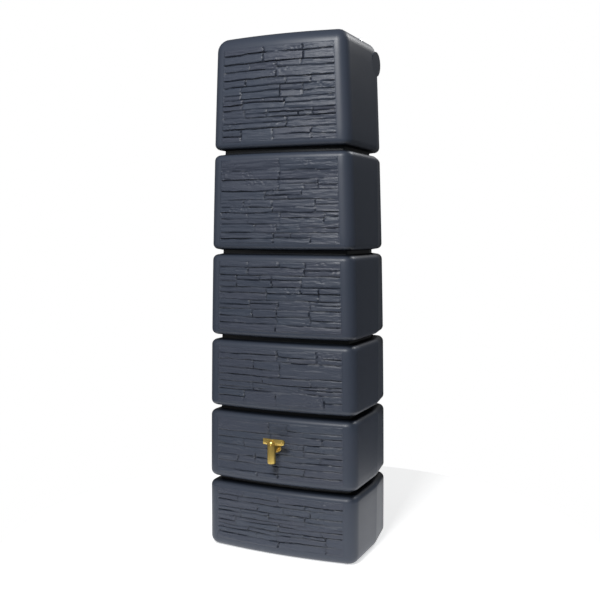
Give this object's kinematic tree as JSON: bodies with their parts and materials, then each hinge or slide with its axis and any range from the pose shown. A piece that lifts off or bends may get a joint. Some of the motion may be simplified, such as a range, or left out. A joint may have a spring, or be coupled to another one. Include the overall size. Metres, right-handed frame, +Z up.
{
  "type": "rain barrel",
  "caption": "Slim upright rain barrel that stands against a wall, in stacked grooved blocks with stone-look front panels, a round lid, a quarter-turn tap and wall brackets.",
  "frame": {"origin": "centre of the flat base, on the floor", "axes": "+Z up; the front with the tap faces -Y; +Y is the wall side; +X is right as seen from the front"},
  "size_m": [0.5918, 0.4544, 1.8603],
  "materials": {
    "graphite_plastic": "satin graphite grey polyethylene, stone relief on the front panels",
    "black_plastic": "moulded, satin",
    "seal_rubber": "moulded, dull",
    "tap_brass": "polished, warm gold",
    "insert_brass": "turned, dull",
    "zinc_steel": "zinc plated",
    "plain_steel": "plain bright steel"
  },
  "bodies": {
    "tank": {"tank_shell": "graphite_plastic", "tap_insert": "insert_brass", "tap_gasket": "seal_rubber", "tap_body": "tap_brass", "plug_clip": "plain_steel", "outlet_nozzle": "black_plastic", "drain_insert": "insert_brass", "wall_bracket_left": "zinc_steel", "wall_bracket_right": "zinc_steel", "bracket_insert_left": "insert_brass", "bracket_insert_right": "insert_brass", "bracket_washer_left": "zinc_steel", "bracket_washer_right": "zinc_steel", "bracket_screw_left": "plain_steel", "bracket_screw_right": "plain_steel"},
    "tap_lever": {"tap_handle": "tap_brass", "tap_plug": "black_plastic", "plug_ring_upper": "seal_rubber", "plug_ring_lower": "seal_rubber", "handle_screw": "plain_steel"},
    "lid": {"lid_cover": "graphite_plastic", "lid_seal": "seal_rubber"},
    "lid_lock_left": {"lid_lock_left": "black_plastic"},
    "lid_lock_right": {"lid_lock_right": "black_plastic"},
    "drain_plug": {"drain_plug": "black_plastic", "drain_plug_seal": "seal_rubber"}
  },
  "joints": [
    {"name": "tap_turn", "type": "hinge", "parent": "tank", "child": "tap_lever", "pos_m": [0, -0.24, 0.4], "axis": [0, 0, 1], "range_deg": [-90, 0]},
    {"name": "lid_lift", "type": "slide", "parent": "tank", "child": "lid", "axis": [0, 0, 1], "range_m": [0, 0.15]},
    {"name": "lid_lock_left_turn", "type": "hinge", "parent": "lid", "child": "lid_lock_left", "pos_m": [-0.146, 0.005, 1.83], "axis": [0, 0, 1], "range_deg": [0, 90]},
    {"name": "lid_lock_right_turn", "type": "hinge", "parent": "lid", "child": "lid_lock_right", "pos_m": [0.146, 0.005, 1.83], "axis": [0, 0, 1], "range_deg": [0, 90]},
    {"name": "drain_plug_out", "type": "slide", "parent": "tank", "child": "drain_plug", "axis": [-1, 0, 0], "range_m": [0, 0.06]}
  ]
}
